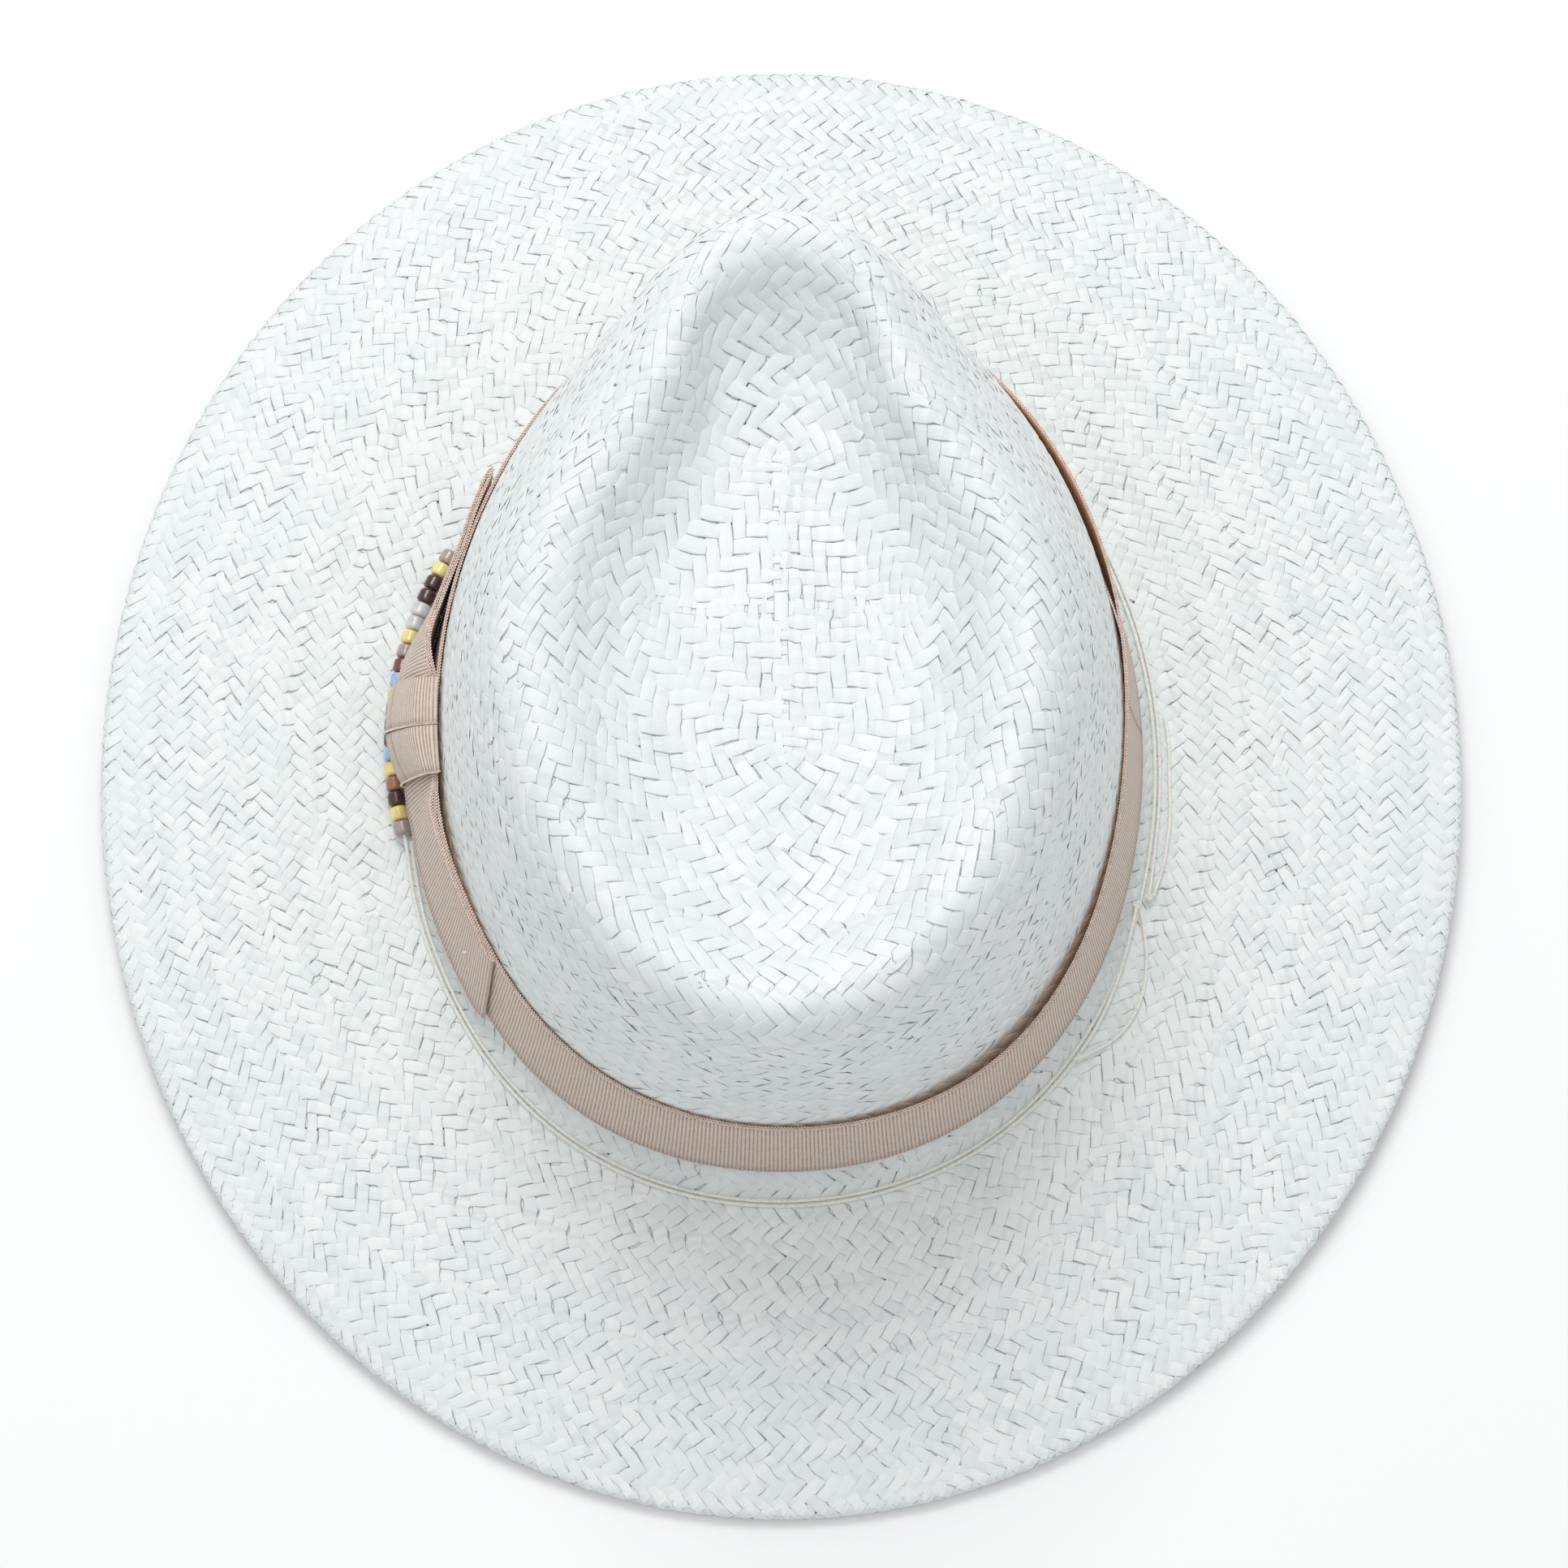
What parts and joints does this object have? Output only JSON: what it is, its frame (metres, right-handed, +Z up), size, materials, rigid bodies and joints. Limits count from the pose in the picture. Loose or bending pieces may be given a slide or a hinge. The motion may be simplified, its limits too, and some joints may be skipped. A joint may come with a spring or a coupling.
{
  "type": "woven straw fedora hat",
  "caption": "Wide-brim woven straw hat with a pinched teardrop crown, a ribbed ribbon band with a flat side bow and a tied string of small beads.",
  "frame": {"origin": "middle of the brim's footprint, on the surface the brim rests on", "axes": "+Z up through the crown, +Y towards the wearer's front, -X towards the wearer's left, where the bow and the beads are"},
  "size_m": [0.3168, 0.3544, 0.126],
  "materials": {
    "straw": "woven flat paper straw, matt, off-white",
    "ribbon": "grosgrain ribbon, ribbed, dusty pink",
    "sweatband": "plain woven cotton tape, cream",
    "thread": "matt sewing thread, off-white",
    "cord": "twisted cotton thread, cream",
    "bead_clear": "clear moulded glass, glossy",
    "bead_taupe": "opaque glass seed bead, glossy",
    "bead_yellow": "opaque glass seed bead, glossy",
    "bead_dark_brown": "opaque glass seed bead, glossy",
    "bead_red_brown": "opaque glass seed bead, glossy",
    "bead_light_blue": "opaque glass seed bead, glossy",
    "bead_copper": "opaque glass seed bead, glossy"
  },
  "bodies": {
    "hat": {"crown": "straw", "brim": "straw", "brim_hem": "straw", "hem_stitches": "thread", "sweatband": "sweatband", "sweatband_lap": "sweatband", "sweatband_stitches": "thread", "ribbon_band": "ribbon", "bow_front_loop": "ribbon", "bow_rear_loop": "ribbon", "bow_front_wrap": "ribbon", "bow_rear_wrap": "ribbon", "bow_tacks": "thread", "bead_cord": "cord", "second_strand": "cord", "cord_knot_inner": "cord", "cord_knot_outer": "cord", "cord_tail_forward": "cord", "cord_tail_back": "cord"},
    "bead_01": {"bead_01": "bead_taupe"},
    "bead_02": {"bead_02": "bead_yellow"},
    "bead_03": {"bead_03": "bead_dark_brown"},
    "bead_04": {"bead_04": "bead_dark_brown"},
    "bead_05": {"bead_05": "bead_clear"},
    "bead_06": {"bead_06": "bead_clear"},
    "bead_07": {"bead_07": "bead_yellow"},
    "bead_08": {"bead_08": "bead_taupe"},
    "bead_09": {"bead_09": "bead_red_brown"},
    "bead_10": {"bead_10": "bead_light_blue"},
    "bead_11": {"bead_11": "bead_yellow"},
    "bead_12": {"bead_12": "bead_copper"},
    "bead_13": {"bead_13": "bead_dark_brown"},
    "bead_14": {"bead_14": "bead_dark_brown"},
    "bead_15": {"bead_15": "bead_light_blue"},
    "bead_16": {"bead_16": "bead_yellow"},
    "bead_17": {"bead_17": "bead_copper"},
    "bead_18": {"bead_18": "bead_dark_brown"},
    "bead_19": {"bead_19": "bead_yellow"},
    "bead_20": {"bead_20": "bead_taupe"}
  },
  "joints": [
    {"name": "bead_01_spin", "type": "hinge", "parent": "hat", "child": "bead_01", "pos_m": [-0.07782, 0.04577, 0.01408], "axis": [-0.509, -0.8607, -0.011], "continuous": true},
    {"name": "bead_02_spin", "type": "hinge", "parent": "hat", "child": "bead_02", "pos_m": [-0.07959, 0.04265, 0.01402], "axis": [-0.4728, -0.8809, -0.022], "continuous": true},
    {"name": "bead_03_spin", "type": "hinge", "parent": "hat", "child": "bead_03", "pos_m": [-0.08122, 0.03945, 0.01394], "axis": [-0.436, -0.8997, -0.022], "continuous": true},
    {"name": "bead_04_spin", "type": "hinge", "parent": "hat", "child": "bead_04", "pos_m": [-0.08271, 0.03619, 0.01386], "axis": [-0.3983, -0.917, -0.022], "continuous": true},
    {"name": "bead_05_spin", "type": "hinge", "parent": "hat", "child": "bead_05", "pos_m": [-0.08407, 0.03288, 0.01378], "axis": [-0.36, -0.9327, -0.022], "continuous": true},
    {"name": "bead_06_spin", "type": "hinge", "parent": "hat", "child": "bead_06", "pos_m": [-0.0853, 0.0295, 0.01371], "axis": [-0.3211, -0.9468, -0.022], "continuous": true},
    {"name": "bead_07_spin", "type": "hinge", "parent": "hat", "child": "bead_07", "pos_m": [-0.08638, 0.02608, 0.01363], "axis": [-0.2816, -0.9593, -0.022], "continuous": true},
    {"name": "bead_08_spin", "type": "hinge", "parent": "hat", "child": "bead_08", "pos_m": [-0.08732, 0.02262, 0.01355], "axis": [-0.2416, -0.9701, -0.022], "continuous": true},
    {"name": "bead_09_spin", "type": "hinge", "parent": "hat", "child": "bead_09", "pos_m": [-0.08811, 0.01912, 0.01347], "axis": [-0.2012, -0.9793, -0.022], "continuous": true},
    {"name": "bead_10_spin", "type": "hinge", "parent": "hat", "child": "bead_10", "pos_m": [-0.08876, 0.0156, 0.01339], "axis": [-0.1605, -0.9868, -0.022], "continuous": true},
    {"name": "bead_11_spin", "type": "hinge", "parent": "hat", "child": "bead_11", "pos_m": [-0.08926, 0.01205, 0.01331], "axis": [-0.1195, -0.9926, -0.022], "continuous": true},
    {"name": "bead_12_spin", "type": "hinge", "parent": "hat", "child": "bead_12", "pos_m": [-0.08962, 0.00848, 0.01323], "axis": [-0.0783, -0.9967, -0.022], "continuous": true},
    {"name": "bead_13_spin", "type": "hinge", "parent": "hat", "child": "bead_13", "pos_m": [-0.08982, 0.0049, 0.01315], "axis": [-0.0369, -0.9991, -0.022], "continuous": true},
    {"name": "bead_14_spin", "type": "hinge", "parent": "hat", "child": "bead_14", "pos_m": [-0.08988, 0.00131, 0.01307], "axis": [0.0045, -0.9997, -0.022], "continuous": true},
    {"name": "bead_15_spin", "type": "hinge", "parent": "hat", "child": "bead_15", "pos_m": [-0.08979, -0.00228, 0.01299], "axis": [0.0459, -0.9987, -0.022], "continuous": true},
    {"name": "bead_16_spin", "type": "hinge", "parent": "hat", "child": "bead_16", "pos_m": [-0.08955, -0.00585, 0.01292], "axis": [0.0872, -0.9959, -0.022], "continuous": true},
    {"name": "bead_17_spin", "type": "hinge", "parent": "hat", "child": "bead_17", "pos_m": [-0.08916, -0.00942, 0.01284], "axis": [0.1284, -0.9915, -0.022], "continuous": true},
    {"name": "bead_18_spin", "type": "hinge", "parent": "hat", "child": "bead_18", "pos_m": [-0.08863, -0.01297, 0.01276], "axis": [0.1694, -0.9853, -0.022], "continuous": true},
    {"name": "bead_19_spin", "type": "hinge", "parent": "hat", "child": "bead_19", "pos_m": [-0.08795, -0.01649, 0.01268], "axis": [0.21, -0.9775, -0.022], "continuous": true},
    {"name": "bead_20_spin", "type": "hinge", "parent": "hat", "child": "bead_20", "pos_m": [-0.08712, -0.01998, 0.01262], "axis": [0.2504, -0.9681, -0.011], "continuous": true}
  ]
}
